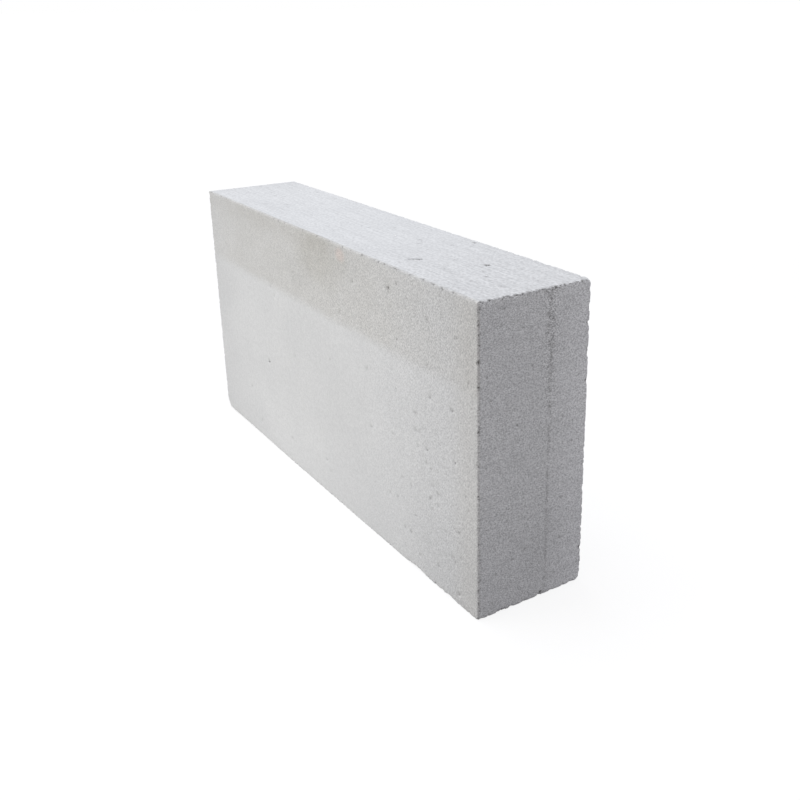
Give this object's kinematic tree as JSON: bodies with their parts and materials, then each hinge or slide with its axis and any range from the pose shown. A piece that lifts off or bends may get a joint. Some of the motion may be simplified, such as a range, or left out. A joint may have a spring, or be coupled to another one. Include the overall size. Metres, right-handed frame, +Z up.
{
  "type": "aerated concrete block",
  "caption": "Plain wire-cut aerated concrete wall block with a shallow seam down each end face, crisp arrises and lightly broken corners.",
  "frame": {"origin": "centre of the underside, on the floor that the block stands on", "axes": "+X along the length to the end with the more worn seam, +Y through the thickness from the stained front face to the back face, +Z up"},
  "size_m": [0.6, 0.12, 0.3],
  "materials": {
    "concrete": "matte, fine-pored, wire-cut"
  },
  "bodies": {
    "root": {"block": "concrete"}
  },
  "joints": []
}
